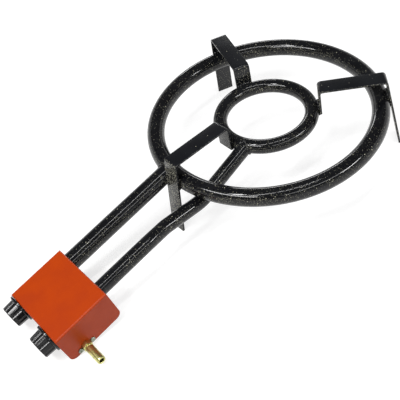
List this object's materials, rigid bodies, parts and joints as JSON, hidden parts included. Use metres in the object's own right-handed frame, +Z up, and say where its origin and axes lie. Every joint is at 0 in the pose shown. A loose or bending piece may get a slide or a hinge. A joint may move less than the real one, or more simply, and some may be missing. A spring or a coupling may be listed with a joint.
{
  "type": "two-ring gas burner",
  "caption": "Low gas burner: tube rings fed by pipes from a box with taps, flat-bar pan supports that are also its legs, and a brass hose nozzle.",
  "frame": {"origin": "common centre of the two rings, in the plane of their tube axes", "axes": "+Z up, -Y outward along the handle to the control box, +X the side of the hose nozzle"},
  "size_m": [0.3572, 0.6228, 0.116],
  "materials": {
    "black_enamel": "gloss, with pale specks",
    "orange_enamel": "satin",
    "brass": "satin",
    "zinc_steel": "zinc plated",
    "knob_plastic": "gloss"
  },
  "bodies": {
    "burner": {"outer_ring": "black_enamel", "inner_ring": "black_enamel", "pan_support_front": "black_enamel", "pan_support_left": "black_enamel", "pan_support_right": "black_enamel", "outer_feed_tube": "black_enamel", "inner_feed_tube": "black_enamel", "outer_ring_welds": "black_enamel", "inner_ring_welds": "black_enamel", "control_box": "orange_enamel", "gas_rail": "brass", "rail_plug": "brass", "hose_nozzle": "brass", "inlet_screws": "zinc_steel", "tap_bracket": "zinc_steel", "bracket_bolts": "zinc_steel", "tap_body_outer": "brass", "injector_outer": "brass", "tap_bonnet_outer": "brass", "tap_nut_outer": "brass", "tap_body_inner": "brass", "injector_inner": "brass", "tap_bonnet_inner": "brass", "tap_nut_inner": "brass"},
    "outer_tap": {"knob_outer": "knob_plastic", "tap_spindle_outer": "zinc_steel"},
    "inner_tap": {"knob_inner": "knob_plastic", "tap_spindle_inner": "zinc_steel"}
  },
  "joints": [
    {"name": "outer_tap_turn", "type": "hinge", "parent": "burner", "child": "outer_tap", "pos_m": [-0.0255, -0.42719, -0.04516], "axis": [0, -0.986, -0.1668], "range_deg": [0, 180]},
    {"name": "inner_tap_turn", "type": "hinge", "parent": "burner", "child": "inner_tap", "pos_m": [0.042, -0.42719, -0.04516], "axis": [0, -0.986, -0.1668], "range_deg": [0, 180]}
  ]
}
